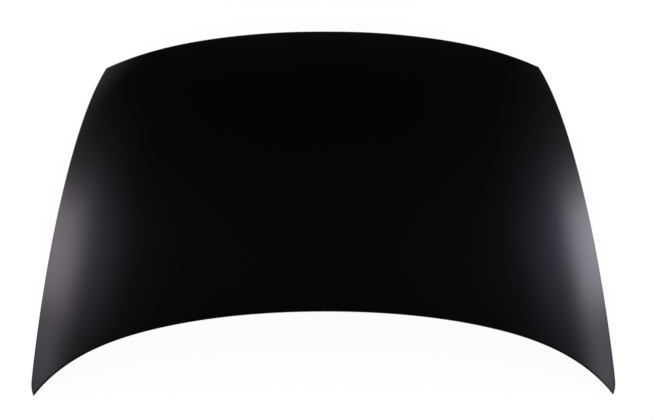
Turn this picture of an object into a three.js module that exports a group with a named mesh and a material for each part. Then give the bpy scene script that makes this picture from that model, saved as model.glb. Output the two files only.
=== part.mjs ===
// Car bonnet of pressed steel: an outer skin hemmed round a pressed inner frame, with the
// reinforcements, weld nuts, striker and mastic beads that such a bonnet carries.
// Millimetres, +Z up, nose towards +Y. It lies outer side up, resting on its four corners.
import * as THREE from 'three';

// Outline of the skin from above, measured from the middle of the rear edge
const OVERALL_WIDTH = 1450;
const CENTRE_LENGTH = 873;
const REAR_TIP_INSET = 8;
const REAR_TIP_SWEEP = 159;
const WIDEST_SWEEP = 122;
const FRONT_CORNER_WIDTH = 1180;
const NOSE_SWEEP = 74;
const REAR_EDGE_PULL = [364, 151];
const REAR_TIP_ANGLE = 43;
const NOSE_EDGE_PULL = [101, 312];
const NOSE_CORNER_ANGLE = 14;
const SIDE_EDGE_PULL = [20, 243];
const SIDE_CORNER_ANGLE = 23;
const TIP_ROUND_PULL = { across: 0.55, along: 0.25 };

// Curvature of the skin
const CROWN_RADIUS = 3100;
const LENGTH_BOW = 34;
const NOSE_DROP = 14;
const NOSE_DROP_START = 0.6;
const SHOULDER_WIDTH = 300;
const SHOULDER_DROP_REAR = 50;
const SHOULDER_DROP_NOSE = 32;

// Sheet gauges and the hem
const SKIN_GAUGE = 0.8;
const FRAME_GAUGE = 0.7;
const PLATE_GAUGE = 1.5;
const SEAT_GAP = 0.3;
const HEM_WIDTH = 10;
const FOLD_CLEARANCE = 1.2;

// Inner frame pressing
const CHANNEL_DEPTH = 19;
const CHANNEL_WIDTH = 114;
const WALL_RUN = 9;
const BEND_RUN = 3;
const OPENING_LAND = 15;
const MASTIC_GAP = 4;
const OPENING_CORNER = 62;
const LARGEST_CORNER_SHARE = 0.45;

// Ribs of the frame, placed as shares of the field inside the channel: 0 to 1 from the centre line
// to the side, and 0 to 1 from the rear to the nose
const RIB_WIDTH = 94;
const CROSS_RIB_ALONG = 0.47;
const V_RIB_AT_NOSE = 0.2;
const V_RIB_AT_REAR = 0.82;
const LATCH_AREA_ALONG = 0.86;
const HINGE_AREA_ALONG = 0.3;
const SIDE_CHANNEL_EASE = 0.06;
const STOP_AREA = [0.72, 0.82];

// Pads that the hinges, the striker and the bump stops bolt or bear on; across and inset place them
const HINGE_PAD = { across: 0.88, along: 0, inset: 84, length: 92, width: 46, corner: 12, yaw: -24 };
const HINGE_BOLT_SPACING = 50;
const BOLT_HOLE = 9;
const LATCH_PAD = { across: 0, along: 1, inset: 78, length: 120, width: 54, corner: 14, yaw: 0 };
const STOP_PAD = { across: 0.83, along: 1, inset: 74, length: 44, width: 44, corner: 21, yaw: 0 };
const PAD_RISE = 3;
const PAD_SLOPE_RUN = 5;
const PAD_RIM = 5;

// Dished reinforcement plates
const PLATE_MARGIN = 4;
const PLATE_WALL = { run: 2, height: 5 };
const PLATE_RIM = 2;

// Weld nuts for M8 hinge bolts
const NUT_ACROSS_FLATS = 13;
const NUT_HEIGHT = 6.5;
const NUT_BORE = 8.4;

// Striker
const STRIKER_ROD = 8;
const STRIKER_SPAN = 42;
const STRIKER_DROP = 42;
const STRIKER_BEND = 11;
const STRIKER_STUB = 4;
const STRIKER_BASE_MARGIN = 10;
const STRIKER_BASE_GAUGE = 2.5;
const STRIKER_BASE_WALL = { run: 3, height: -6 };
const LATCH_SLOT_MARGIN = 7;

// Holes in the channel floor, with their shares of the way along the sides and edges
const LOCATION_HOLE = 16;
const LOCATION_HOLE_ALONG = 0.2;
const DRAIN_HOLE = 10;
const NOSE_DRAIN_ACROSS = 0.5;
const REAR_DRAIN_ACROSS = 0.35;
const STAY_SLOT = { length: 26, width: 12, corner: 5.5 };
const STAY_SLOT_ALONG = 0.72;

// Mastic beads
const BEAD = { length: 46, width: 9, corner: 4 };
const BEAD_TOP_GAP = 0.45;
const SHORTEST_BEADED_SIDE = 188;

// Mesh fineness
const ACROSS = 30;
const ALONG = 20;
const CORNER_CROWDING = 0.22;
const FLOOR_FACET = 85;
const OUTLINE_STEP = 50;
const CORNER_STEPS = 4;
const HOLE_SIDES = 12;
const DRAIN_SIDES = 8;
const ROD_SIDES = 10;
const ROD_STEPS = 26;
const FOLD_STEPS = 4;

const radians = THREE.MathUtils.degToRad;
const v2 = (x, y) => new THREE.Vector2(x, y);

// The three edges of the right half: rear edge, side from the rear tip to the front corner, nose edge
const rearTip = v2(OVERALL_WIDTH / 2 - REAR_TIP_INSET, -REAR_TIP_SWEEP);
const widest = v2(OVERALL_WIDTH / 2, -WIDEST_SWEEP);
const frontCorner = v2(FRONT_CORNER_WIDTH / 2, CENTRE_LENGTH - NOSE_SWEEP);

function edgeCurve(centre, pulls, angle, end) {
  const lean = v2(-Math.cos(radians(angle)), Math.sin(radians(angle))).multiplyScalar(pulls[1]);
  return new THREE.CubicBezierCurve(centre, v2(pulls[0], centre.y), end.clone().add(lean), end);
}

const rearEdge = edgeCurve(v2(0, 0), REAR_EDGE_PULL, REAR_TIP_ANGLE, rearTip);
const noseEdge = edgeCurve(v2(0, CENTRE_LENGTH), NOSE_EDGE_PULL, NOSE_CORNER_ANGLE, frontCorner);
const tipRound = new THREE.CubicBezierCurve(
  rearTip,
  v2(
    THREE.MathUtils.lerp(rearTip.x, widest.x, TIP_ROUND_PULL.across),
    THREE.MathUtils.lerp(rearTip.y, widest.y, TIP_ROUND_PULL.along),
  ),
  v2(widest.x, (rearTip.y + widest.y) / 2),
  widest,
);
const sideLean = v2(Math.sin(radians(SIDE_CORNER_ANGLE)), -Math.cos(radians(SIDE_CORNER_ANGLE)));
const flank = new THREE.CubicBezierCurve(
  widest,
  v2(widest.x, widest.y + SIDE_EDGE_PULL[0]),
  sideLean.multiplyScalar(SIDE_EDGE_PULL[1]).add(frontCorner),
  frontCorner,
);
const sideEdge = new THREE.CurvePath();
sideEdge.add(tipRound);
sideEdge.add(flank);

// A point of the outline's surface patch: u runs -1 to 1 across, v runs 0 to 1 from rear to nose
function patch(u, v) {
  const rear = rearEdge.getPointAt(Math.min(Math.abs(u), 1));
  const nose = noseEdge.getPointAt(Math.min(Math.abs(u), 1));
  const side = sideEdge.getPoint(THREE.MathUtils.clamp(v, 0, 1));
  const sign = Math.sign(u);
  const corner = rearTip.clone().lerp(frontCorner, v);
  return v2(
    sign * THREE.MathUtils.lerp(rear.x, nose.x, v) + u * (side.x - corner.x),
    THREE.MathUtils.lerp(rear.y, nose.y, v) + side.y - corner.y,
  );
}

// How far u or v moves from a border of the patch for one millimetre square to that border
function borderRate(u, v, along) {
  const step = 0.01;
  const u1 = Math.min(u + step, 1);
  const v1 = Math.min(v + step, 1);
  const du = patch(u1, v).sub(patch(u1 - step, v)).divideScalar(step);
  const dv = patch(u, v1).sub(patch(u, v1 - step)).divideScalar(step);
  return (along ? du : dv).length() / Math.abs(du.cross(dv));
}

// A plan point at (across, along) of the area that lies inset from the whole outline
function planPoint(across, along, inset) {
  let u = across;
  let v = along;
  for (let pass = 0; pass < 4; pass += 1) {
    u = across * (1 - inset * borderRate(1, v, false));
    const low = inset * borderRate(Math.abs(u), 0, true);
    const high = 1 - inset * borderRate(Math.abs(u), 1, true);
    v = THREE.MathUtils.lerp(low, high, along);
  }
  return patch(u, v);
}

// Height of the outer face before the part is laid level
function crown(x, y) {
  const t = y / CENTRE_LENGTH;
  const bow = 4 * LENGTH_BOW * t * (1 - t);
  const nose = NOSE_DROP * Math.max((t - NOSE_DROP_START) / (1 - NOSE_DROP_START), 0) ** 3;
  const taper = Math.max((y - widest.y) / (frontCorner.y - widest.y), 0) ** 2;
  const halfWidth = THREE.MathUtils.lerp(widest.x, frontCorner.x, taper);
  const shoulder = Math.max(Math.abs(x) - halfWidth + SHOULDER_WIDTH, 0) / SHOULDER_WIDTH;
  const drop = THREE.MathUtils.lerp(SHOULDER_DROP_REAR, SHOULDER_DROP_NOSE, t);
  return bow - nose - (x * x) / (2 * CROWN_RADIUS) - drop * shoulder ** 3;
}

// The part lies on its rear tips and front corners, so the two are brought to one height
const cornerFall = crown(rearTip.x, rearTip.y) - crown(frontCorner.x, frontCorner.y);
const layingSlope = cornerFall / (frontCorner.y - rearTip.y);
const height = (x, y) => crown(x, y) + layingSlope * y;

function surfaceNormal(x, y) {
  const step = 1;
  const slopeX = (height(x + step, y) - height(x - step, y)) / (2 * step);
  const slopeY = (height(x, y + step) - height(x, y - step)) / (2 * step);
  return new THREE.Vector3(-slopeX, -slopeY, 1).normalize();
}

// The point that lies square below the outer face at a plan point
function below(plan, depth) {
  const surface = new THREE.Vector3(plan.x, plan.y, height(plan.x, plan.y));
  return surface.addScaledVector(surfaceNormal(plan.x, plan.y), -depth);
}

// Stations of the outline, closer together near the corners
const ease = (k) => k * (1 + CORNER_CROWDING * (1 - k * k));
const acrossAt = (i) => ease((2 * i) / ACROSS - 1);
const alongAt = (j) => (ease((2 * j) / ALONG - 1) + 1) / 2;
const gridPoint = (i, j, inset) => planPoint(acrossAt(i), alongAt(j), inset);

function outlineLoop(inset) {
  const loop = [];
  for (let i = 0; i < ACROSS; i += 1) loop.push(gridPoint(i, 0, inset));
  for (let j = 0; j < ALONG; j += 1) loop.push(gridPoint(ACROSS, j, inset));
  for (let i = ACROSS; i > 0; i -= 1) loop.push(gridPoint(i, ALONG, inset));
  for (let j = ALONG; j > 0; j -= 1) loop.push(gridPoint(0, j, inset));
  return loop;
}

// A surface of triangles that is gathered from closed loops of points
class Surface {
  constructor() {
    this.points = [];
    this.triangles = [];
  }

  add(point) {
    return this.points.push(point) - 1;
  }

  loop(points) {
    return points.map((point) => this.add(point));
  }

  // Joins two loops of equal count, the first lying round the second when seen from its outer face
  band(around, within) {
    around.forEach((a, i) => {
      const next = (i + 1) % around.length;
      this.quad(a, around[next], within[next], within[i]);
    });
  }

  // Two triangles that meet on the shorter diagonal
  quad(a, b, c, d) {
    const [pa, pb, pc, pd] = [a, b, c, d].map((index) => this.points[index]);
    const faces = pa.distanceTo(pc) < pb.distanceTo(pd) ? [[a, b, c], [a, c, d]] : [[a, b, d], [b, c, d]];
    this.triangles.push(...faces);
  }

  bands(loops) {
    loops.slice(1).forEach((loop, i) => this.band(loops[i], loop));
  }

  plan(index) {
    return v2(this.points[index].x, this.points[index].y);
  }

  // Fills the area between an outline and the holes in it; place gives the point of a new plan point
  fill(outline, holes, facet, place) {
    const contour = outline.map((index) => this.plan(index));
    const cuts = holes.map((hole) => hole.map((index) => this.plan(index)));
    const indices = [outline, ...holes].flat();
    let area = THREE.ShapeUtils.triangulateShape(contour, cuts);
    area = area.map((face) => this.upward(face.map((k) => indices[k])));
    let split = true;
    while (split) {
      while (this.flipEdges(area));
      split = this.splitEdges(area, facet, place);
    }
    this.triangles.push(...area);
  }

  upward([a, b, c]) {
    const ab = this.plan(b).sub(this.plan(a));
    const ac = this.plan(c).sub(this.plan(a));
    return ab.cross(ac) > 0 ? [a, b, c] : [a, c, b];
  }

  // Edges shared by two triangles, each with the triangle that follows it and the one that faces it
  sharedEdges(area) {
    const open = new Map();
    const shared = [];
    area.forEach((triangle, t) => {
      triangle.forEach((a, k) => {
        const b = triangle[(k + 1) % 3];
        const tip = triangle[(k + 2) % 3];
        const twin = open.get(`${b},${a}`);
        if (twin) shared.push({ a, b, tip, t, farTip: twin.tip, far: twin.t });
        open.set(`${a},${b}`, { tip, t });
      });
    });
    return shared;
  }

  // One sweep of edge flips that brings the area nearer to evenly shaped triangles
  flipEdges(area) {
    const touched = new Set();
    this.sharedEdges(area).forEach(({ a, b, tip, t, farTip, far }) => {
      if (touched.has(t) || touched.has(far)) return;
      const [pa, pb, pt, pf] = [a, b, tip, farTip].map((index) => this.plan(index));
      const bend = (corner) => {
        const toA = pa.clone().sub(corner);
        const toB = pb.clone().sub(corner);
        return Math.atan2(Math.abs(toA.cross(toB)), toA.dot(toB));
      };
      const sideA = pf.clone().sub(pt).cross(pa.clone().sub(pt));
      const sideB = pf.clone().sub(pt).cross(pb.clone().sub(pt));
      if (bend(pt) + bend(pf) <= Math.PI + 1e-6 || sideA * sideB >= 0) return;
      area[t] = [tip, farTip, b];
      area[far] = [farTip, tip, a];
      touched.add(t).add(far);
    });
    return touched.size > 0;
  }

  // One sweep that halves the edges longer than the facet size, the longest first
  splitEdges(area, facet, place) {
    const touched = new Set();
    const long = this.sharedEdges(area)
      .map((edge) => ({ ...edge, length: this.plan(edge.a).distanceTo(this.plan(edge.b)) }))
      .filter((edge) => edge.length > facet)
      .sort((one, other) => other.length - one.length);
    long.forEach(({ a, b, tip, t, farTip, far }) => {
      if (touched.has(t) || touched.has(far)) return;
      const middle = this.add(place(this.plan(a).lerp(this.plan(b), 0.5)));
      area[t] = [a, middle, tip];
      area[far] = [b, middle, farTip];
      area.push([middle, b, tip], [middle, a, farTip]);
      touched.add(t).add(far);
    });
    return touched.size > 0;
  }

  geometry() {
    const geometry = new THREE.BufferGeometry().setFromPoints(this.points);
    geometry.setIndex(this.triangles.flat());
    return geometry;
  }

  // The closed sheet of a given gauge that has this surface as its middle
  sheet(gauge) {
    const offsets = this.offsets();
    const count = this.points.length;
    const solid = new Surface();
    this.points.forEach((p, i) => solid.add(p.clone().addScaledVector(offsets[i], gauge / 2)));
    this.points.forEach((p, i) => solid.add(p.clone().addScaledVector(offsets[i], -gauge / 2)));
    const edges = new Map();
    this.triangles.forEach((triangle) => {
      solid.triangles.push(triangle, triangle.map((i) => i + count).reverse());
      triangle.forEach((a, k) => edges.set(`${a},${triangle[(k + 1) % 3]}`, [a, triangle[(k + 1) % 3]]));
    });
    edges.forEach(([a, b]) => {
      if (edges.has(`${b},${a}`)) return;
      solid.triangles.push([b, a, a + count], [b, a + count, b + count]);
    });
    return solid.geometry();
  }

  // The direction at each point that keeps the gauge true on the faces that meet there
  offsets() {
    const faces = this.points.map(() => []);
    this.triangles.forEach((triangle) => {
      const [a, b, c] = triangle.map((index) => this.points[index]);
      const normal = b.clone().sub(a).cross(c.clone().sub(a)).normalize();
      triangle.forEach((index, k) => {
        const toNext = this.points[triangle[(k + 1) % 3]].clone().sub(this.points[index]);
        const toLast = this.points[triangle[(k + 2) % 3]].clone().sub(this.points[index]);
        faces[index].push({ normal, angle: toNext.angleTo(toLast) });
      });
    });
    return faces.map((around) => {
      const mean = new THREE.Vector3();
      around.forEach(({ normal, angle }) => mean.addScaledVector(normal, angle));
      mean.normalize();
      const turn = around.reduce((sum, { angle }) => sum + angle, 0);
      const fit = around.reduce((sum, { normal, angle }) => sum + normal.dot(mean) * angle, 0) / turn;
      return mean.divideScalar(fit);
    });
  }
}

// Outer skin: the pressed panel and the hem that is folded back all round its border
const hemStack = 2 * SKIN_GAUGE + FRAME_GAUGE + 2 * SEAT_GAP;
const foldRadius = hemStack / 2;
const hemInnerInset = HEM_WIDTH + BEND_RUN;

function foldLoops(radius, steps, sign) {
  const loops = [];
  for (let k = 0; k <= steps; k += 1) {
    const angle = sign * Math.PI * (k / steps - 0.5);
    const inset = foldRadius - radius * Math.cos(angle);
    loops.push([inset, foldRadius + radius * Math.sin(angle)]);
  }
  return loops;
}

function outerSkin() {
  const skin = new Surface();
  const innerFold = foldRadius - SKIN_GAUGE;
  const section = [
    ...foldLoops(foldRadius, FOLD_STEPS, 1).reverse(),
    [hemInnerInset, 0],
  ];
  const returnSection = [
    [HEM_WIDTH, hemStack],
    [HEM_WIDTH, hemStack - SKIN_GAUGE],
    ...foldLoops(innerFold, FOLD_STEPS / 2, -1),
    [hemInnerInset, SKIN_GAUGE],
  ];
  const ring = ([inset, depth]) => skin.loop(outlineLoop(inset).map((plan) => below(plan, depth)));
  const outer = section.map(ring);
  const inner = returnSection.map(ring);
  skin.bands(outer);
  skin.bands([...inner].reverse());
  skin.band(inner[0], outer[0]);
  panelGrid(skin, outer.at(-1), 0, false);
  panelGrid(skin, inner.at(-1), SKIN_GAUGE, true);
  return skin.geometry();
}

// The panel inside the hem, one grid for each face, joined to a border loop that is already there
function panelGrid(skin, border, depth, facesDown) {
  const rows = [];
  for (let j = 0; j <= ALONG; j += 1) {
    rows.push([]);
    for (let i = 0; i <= ACROSS; i += 1) {
      rows[j].push(borderIndex(border, i, j) ?? skin.add(below(gridPoint(i, j, hemInnerInset), depth)));
    }
  }
  for (let j = 0; j < ALONG; j += 1) {
    for (let i = 0; i < ACROSS; i += 1) {
      const corners = [rows[j][i], rows[j][i + 1], rows[j + 1][i + 1], rows[j + 1][i]];
      skin.quad(...(facesDown ? corners.reverse() : corners));
    }
  }
}

function borderIndex(border, i, j) {
  if (j === 0) return border[i];
  if (i === ACROSS) return border[ACROSS + j];
  if (j === ALONG) return border[2 * ACROSS + ALONG - i];
  if (i === 0) return border[2 * ACROSS + 2 * ALONG - j];
  return undefined;
}

// Plan point of the field inside the channel that runs round the frame
const field = ([across, along]) => planPoint(across, along, CHANNEL_WIDTH);

// Outline of a lightening opening: corners are shares of the field, each rounded off
function openingOutline(corners) {
  const share = (from, to) => {
    const length = field(from.toArray()).distanceTo(field(to.toArray()));
    return Math.min(OPENING_CORNER / length, LARGEST_CORNER_SHARE);
  };
  const points = [];
  const marks = corners.map(([across, along]) => v2(across, along));
  marks.forEach((corner, k) => {
    const last = marks.at(k - 1);
    const next = marks[(k + 1) % marks.length];
    const start = corner.clone().lerp(last, share(corner, last));
    const end = corner.clone().lerp(next, share(corner, next));
    const far = next.clone().lerp(corner, share(next, corner));
    const round = new THREE.QuadraticBezierCurve(start, corner, end);
    points.push(...round.getPoints(CORNER_STEPS));
    const run = field(end.toArray()).distanceTo(field(far.toArray()));
    const steps = Math.max(Math.ceil(run / OUTLINE_STEP), 1);
    for (let s = 1; s < steps; s += 1) points.push(end.clone().lerp(far, s / steps));
  });
  return points.map((point) => field(point.toArray()));
}

// A plan loop moved outwards by a distance
function spread(loop, distance) {
  return loop.map((point, k) => {
    const last = loop.at(k - 1);
    const next = loop[(k + 1) % loop.length];
    const along = next.clone().sub(last).normalize();
    return point.clone().add(v2(along.y, -along.x).multiplyScalar(distance));
  });
}

// Lightening openings, as shares of the field: two V ribs run from the latch to the hinges, one rib
// crosses them and one runs down the middle of the rear half
const ribAcross = RIB_WIDTH / 2 / field([1, 0.5]).x;
const ribAlong = RIB_WIDTH / 2 / field([0, 0]).distanceTo(field([0, 1]));
const vRibAt = (along) => THREE.MathUtils.lerp(V_RIB_AT_REAR, V_RIB_AT_NOSE, along);
const vInside = (along) => [vRibAt(along) - ribAcross, along];
const vOutside = (along) => [vRibAt(along) + ribAcross, along];
const behindRib = CROSS_RIB_ALONG - ribAlong;
const aheadOfRib = CROSS_RIB_ALONG + ribAlong;
const sideOpeningStart = HINGE_AREA_ALONG - SIDE_CHANNEL_EASE;
const flipped = ([across, along]) => [-across, along];
const mirrored = (corners) => corners.map(flipped).reverse();
const rightOpenings = [
  [[ribAcross, 0], vInside(0), vInside(behindRib), [ribAcross, behindRib]],
  [vOutside(HINGE_AREA_ALONG), [1, sideOpeningStart], [1, behindRib], vOutside(behindRib)],
  [vOutside(aheadOfRib), [1, aheadOfRib], [1, STOP_AREA[1]], [STOP_AREA[0], 1], vOutside(1)],
];
const [wideEnd, narrowEnd] = [aheadOfRib, LATCH_AREA_ALONG].map(vInside);
const middleOpening = [flipped(wideEnd), wideEnd, narrowEnd, flipped(narrowEnd)];
const openings = [...rightOpenings, ...rightOpenings.map(mirrored), middleOpening];

// Depths of the middle of the frame sheet below the outer face
const flangeDepth = hemStack / 2;
const landDepth = SKIN_GAUGE + 2 * SEAT_GAP + MASTIC_GAP + FRAME_GAUGE / 2;
const floorDepth = CHANNEL_DEPTH + FRAME_GAUGE / 2;
const bendDepth = floorDepth - BEND_RUN / 2;
const floorInset = hemInnerInset + WALL_RUN + BEND_RUN;
const openingFoot = OPENING_LAND + WALL_RUN + BEND_RUN;
const channelMiddle = (floorInset + CHANNEL_WIDTH - openingFoot) / 2;

// A flat pad: a plane that touches the channel floor's curve, raised towards the skin
function padPlane({ across, along, inset, yaw }) {
  const plan = planPoint(across, along, inset);
  const origin = below(plan, floorDepth - PAD_RISE);
  const up = surfaceNormal(plan.x, plan.y);
  const acrossPad = new THREE.Vector3(Math.cos(radians(yaw)), Math.sin(radians(yaw)), 0);
  const alongPad = up.clone().cross(acrossPad).normalize();
  return new THREE.Matrix4().makeBasis(alongPad.clone().cross(up), alongPad, up).setPosition(origin);
}

// A rounded rectangle about the origin, grown or shrunk all round
function roundedRectangle({ length, width, corner }, grow = 0, fineness = 2) {
  const shape = new THREE.Shape();
  const radius = corner + grow;
  const [x, y] = [length / 2 - corner, width / 2 - corner];
  shape.absarc(x, -y, radius, -Math.PI / 2, 0);
  shape.absarc(x, y, radius, 0, Math.PI / 2);
  shape.absarc(-x, y, radius, Math.PI / 2, Math.PI);
  shape.absarc(-x, -y, radius, Math.PI, 1.5 * Math.PI);
  return distinct(shape.getPoints(fineness));
}

function distinct(points) {
  return points.filter((point, k) => point.distanceTo(points.at(k - 1)) > 0.01);
}

function circle(centre, diameter, sides = HOLE_SIDES) {
  const points = [];
  for (let k = 0; k < sides; k += 1) {
    const angle = (2 * Math.PI * k) / sides;
    points.push(v2(Math.cos(angle), Math.sin(angle)).multiplyScalar(diameter / 2).add(centre));
  }
  return points;
}

const onPlane = (plane, points, z = 0) =>
  points.map((point) => new THREE.Vector3(point.x, point.y, z).applyMatrix4(plane));

// Adds a pad to the frame and gives the loop on the channel floor that the floor is cut out for
function addPad(frame, plane, pad, holes) {
  const foot = onPlane(plane, roundedRectangle(pad, PAD_SLOPE_RUN));
  const loops = [
    frame.loop(foot.map((point) => below(v2(point.x, point.y), floorDepth))),
    frame.loop(onPlane(plane, roundedRectangle(pad, 0))),
    frame.loop(onPlane(plane, roundedRectangle(pad, -PAD_RIM))),
  ];
  frame.bands(loops);
  const cuts = holes.map((hole) => frame.loop(onPlane(plane, hole)));
  frame.fill(loops.at(-1), cuts, Infinity);
  return loops[0];
}

const hingeHoles = [-0.5, 0.5].map((side) => circle(v2(side * HINGE_BOLT_SPACING, 0), BOLT_HOLE));
const mirrorPad = (pad) => ({ ...pad, across: -pad.across, yaw: -pad.yaw });
const hingePlanes = [mirrorPad(HINGE_PAD), HINGE_PAD].map(padPlane);
const latchPlane = padPlane(LATCH_PAD);
const stopPlanes = [mirrorPad(STOP_PAD), STOP_PAD].map(padPlane);
const rodBox = { length: STRIKER_SPAN + STRIKER_ROD, width: STRIKER_ROD, corner: STRIKER_ROD / 2 - 1 };
const latchSlot = roundedRectangle(rodBox, LATCH_SLOT_MARGIN);

function innerFrame() {
  const frame = new Surface();
  const floorPoint = (plan) => below(plan, floorDepth);
  const rim = [
    [foldRadius + FOLD_CLEARANCE, flangeDepth],
    [hemInnerInset, flangeDepth],
    [floorInset - BEND_RUN, bendDepth],
    [floorInset, floorDepth],
  ].map(([inset, depth]) => frame.loop(outlineLoop(inset).map((plan) => below(plan, depth))));
  frame.bands(rim);
  const cuts = openings.map((corners) => addOpening(frame, openingOutline(corners)));
  hingePlanes.forEach((plane) => cuts.push(addPad(frame, plane, HINGE_PAD, hingeHoles)));
  cuts.push(addPad(frame, latchPlane, LATCH_PAD, [latchSlot]));
  stopPlanes.forEach((plane) => cuts.push(addPad(frame, plane, STOP_PAD, [])));
  floorHoles().forEach((hole) => cuts.push(frame.loop(hole.map(floorPoint))));
  frame.fill(rim.at(-1), cuts, FLOOR_FACET, floorPoint);
  return frame.sheet(FRAME_GAUGE);
}

// Walls round an opening, from the foot on the channel floor up to the land beside its free edge
function addOpening(frame, edge) {
  const loops = [
    [openingFoot, floorDepth],
    [openingFoot - BEND_RUN, bendDepth],
    [OPENING_LAND, landDepth],
    [0, landDepth],
  ].map(([distance, depth]) => frame.loop(spread(edge, distance).map((plan) => below(plan, depth))));
  frame.bands(loops);
  return loops[0];
}

// Location holes ahead of the hinges, drains at the nose and the rear, and the slot for the stay
function floorHoles() {
  const holes = [];
  [-1, 1].forEach((side) => {
    holes.push(circle(planPoint(side, LOCATION_HOLE_ALONG, channelMiddle), LOCATION_HOLE));
    holes.push(circle(planPoint(side * NOSE_DRAIN_ACROSS, 1, channelMiddle), DRAIN_HOLE, DRAIN_SIDES));
    holes.push(circle(planPoint(side * REAR_DRAIN_ACROSS, 0, channelMiddle), DRAIN_HOLE, DRAIN_SIDES));
  });
  const stay = planPoint(-1, STAY_SLOT_ALONG, channelMiddle);
  holes.push(placed(roundedRectangle(STAY_SLOT), Math.PI / 2, stay));
  return holes;
}

const placed = (loop, turn, centre) => loop.map((point) => point.rotateAround(v2(0, 0), turn).add(centre));

// Dished plate, made lying on z = 0: a flat middle with holes and a wall all round
function dishedPlate(flat, wall, holes, gauge) {
  const plate = new Surface();
  const lying = new THREE.Matrix4();
  const ring = (grow, rise) => plate.loop(onPlane(lying, roundedRectangle(flat, grow), rise));
  const loops = [ring(wall.run, wall.height), ring(0, 0), ring(-PLATE_RIM, 0)];
  plate.bands(loops);
  plate.fill(loops[2], holes.map((hole) => plate.loop(onPlane(lying, hole))), Infinity);
  return plate.sheet(gauge);
}

// Mastic bead: a flat capsule between the skin and the land beside an opening
function masticBead(centre, direction) {
  const bead = new Surface();
  const outline = placed(roundedRectangle(BEAD, 0, 1), direction.angle(), centre);
  const topDepth = SKIN_GAUGE + BEAD_TOP_GAP;
  const lowDepth = landDepth - FRAME_GAUGE / 2 - SEAT_GAP;
  const loopAt = (depth) => bead.loop(outline.map((plan) => below(plan, depth)));
  const [low, top] = [lowDepth, topDepth].map(loopAt);
  bead.band(low, top);
  bead.fill(top, [], Infinity);
  const upper = bead.triangles.slice(2 * top.length);
  upper.forEach((face) => bead.triangles.push(face.map((index) => low[top.indexOf(index)]).reverse()));
  return bead.geometry();
}

// Beads sit at the middle of the sides of each opening, half way across the land
function beadPlaces() {
  const places = [];
  openings.forEach((corners) => {
    corners.forEach((corner, k) => {
      const next = corners[(k + 1) % corners.length];
      const [from, to] = [corner, next].map(field);
      if (from.distanceTo(to) < SHORTEST_BEADED_SIDE) return;
      const middle = field([(corner[0] + next[0]) / 2, (corner[1] + next[1]) / 2]);
      const along = to.clone().sub(from).normalize();
      const outwards = v2(along.y, -along.x).multiplyScalar(OPENING_LAND / 2);
      places.push([middle.add(outwards), along]);
    });
  });
  return places;
}

// Hexagonal weld nut standing on z = 0
function weldNut() {
  const hexagon = new THREE.Shape(circle(v2(0, 0), NUT_ACROSS_FLATS / Math.cos(Math.PI / 6), 6));
  hexagon.holes.push(new THREE.Path(circle(v2(0, 0), NUT_BORE)));
  return new THREE.ExtrudeGeometry(hexagon, { depth: NUT_HEIGHT, bevelEnabled: false });
}

// Striker loop: a bent rod whose ends stand up through the holes of the striker base
function strikerLoop(rise) {
  const half = STRIKER_SPAN / 2;
  const bottom = -STRIKER_DROP + STRIKER_ROD / 2;
  const path = new THREE.CurvePath();
  const corner = (x, turn) => {
    const [a, b, c] = [v2(x, bottom + STRIKER_BEND), v2(x, bottom), v2(x - turn * STRIKER_BEND, bottom)];
    return (turn > 0 ? [c, b, a] : [a, b, c]).map((p) => new THREE.Vector3(p.x, 0, p.y));
  };
  const [left, right] = [corner(-half, -1), corner(half, 1)];
  const ends = [-half, half].map((x) => new THREE.Vector3(x, 0, rise));
  path.add(new THREE.LineCurve3(ends[0], left[0]));
  path.add(new THREE.QuadraticBezierCurve3(...left));
  path.add(new THREE.LineCurve3(left[2], right[0]));
  path.add(new THREE.QuadraticBezierCurve3(...right));
  path.add(new THREE.LineCurve3(right[2], ends[1]));
  const section = new THREE.Shape(circle(v2(0, 0), STRIKER_ROD, ROD_SIDES));
  return new THREE.ExtrudeGeometry(section, { steps: ROD_STEPS, extrudePath: path, bevelEnabled: false });
}

// Finishes
const blackPrimer = { color: 0x0b0b0d, roughness: 0.36, metalness: 0 };
const darkMastic = { color: 0x1a1917, roughness: 0.85, metalness: 0 };

const bonnet = new THREE.Group();

function addPiece(name, geometry, finish, placing) {
  const piece = new THREE.Mesh(geometry, new THREE.MeshStandardMaterial(finish));
  piece.name = name;
  if (placing) piece.applyMatrix4(placing);
  geometry.computeVertexNormals();
  bonnet.add(piece);
  return piece;
}

const raised = (plane, rise, shift = 0) =>
  plane.clone().multiply(new THREE.Matrix4().makeTranslation(shift, 0, rise));

const skinPiece = addPiece('outer_skin', outerSkin(), blackPrimer);
addPiece('inner_frame', innerFrame(), blackPrimer);

// Reinforcements lie on the upper side of the pads, inside the bonnet, with the nuts on the hinge ones
const plateSeat = FRAME_GAUGE / 2 + SEAT_GAP + PLATE_GAUGE / 2;
const nutSeat = plateSeat + PLATE_GAUGE / 2 + SEAT_GAP;
const padPlate = (pad, holes) => {
  const [length, width] = [pad.length, pad.width].map((size) => size - 2 * PLATE_MARGIN);
  const flat = { length, width, corner: pad.corner };
  return dishedPlate(flat, PLATE_WALL, holes, PLATE_GAUGE);
};
['left', 'right'].forEach((side, k) => {
  const plane = hingePlanes[k];
  const plate = padPlate(HINGE_PAD, hingeHoles);
  addPiece(`hinge_reinforcement_${side}`, plate, blackPrimer, raised(plane, plateSeat));
  ['outer', 'inner'].forEach((place, n) => {
    const shift = (n - 0.5) * HINGE_BOLT_SPACING * (side === 'left' ? 1 : -1);
    addPiece(`hinge_nut_${side}_${place}`, weldNut(), blackPrimer, raised(plane, nutSeat, shift));
  });
});
const latchPlate = padPlate(LATCH_PAD, [latchSlot]);
addPiece('latch_reinforcement', latchPlate, blackPrimer, raised(latchPlane, plateSeat));

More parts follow.
